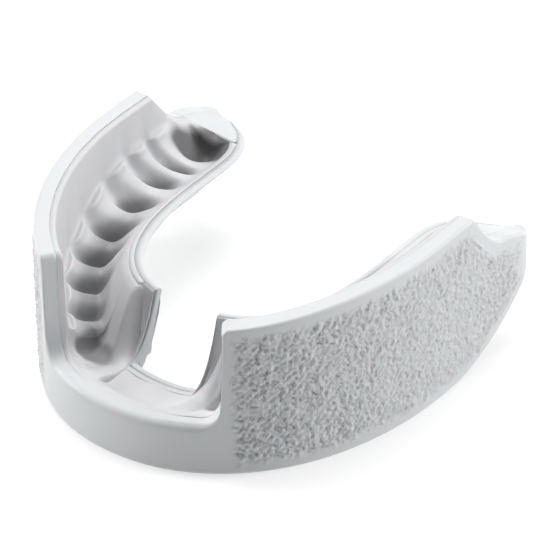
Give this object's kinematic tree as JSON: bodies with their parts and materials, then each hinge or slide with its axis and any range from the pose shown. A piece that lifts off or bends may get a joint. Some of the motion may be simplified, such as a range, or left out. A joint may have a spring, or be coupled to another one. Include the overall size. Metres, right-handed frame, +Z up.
{
  "type": "mouthguard",
  "caption": "Single-arch moulded mouthguard with tall textured side flanges, low front wall, lingual flange and a soft inner liner with tooth impressions.",
  "frame": {"origin": "middle of the box around the guard, on the surface that it rests on", "axes": "+X to the wearer's left flange, -Y to the front of the arch, +Z up, the way the tooth channel opens"},
  "size_m": [0.06, 0.0616, 0.0262],
  "materials": {
    "shell_polymer": "matte white moulded polymer with a pebbled grain on the flanges",
    "liner_polymer": "soft satin white thermoplastic gel"
  },
  "bodies": {
    "root": {"outer_shell": "shell_polymer", "fit_liner": "liner_polymer"}
  },
  "joints": []
}
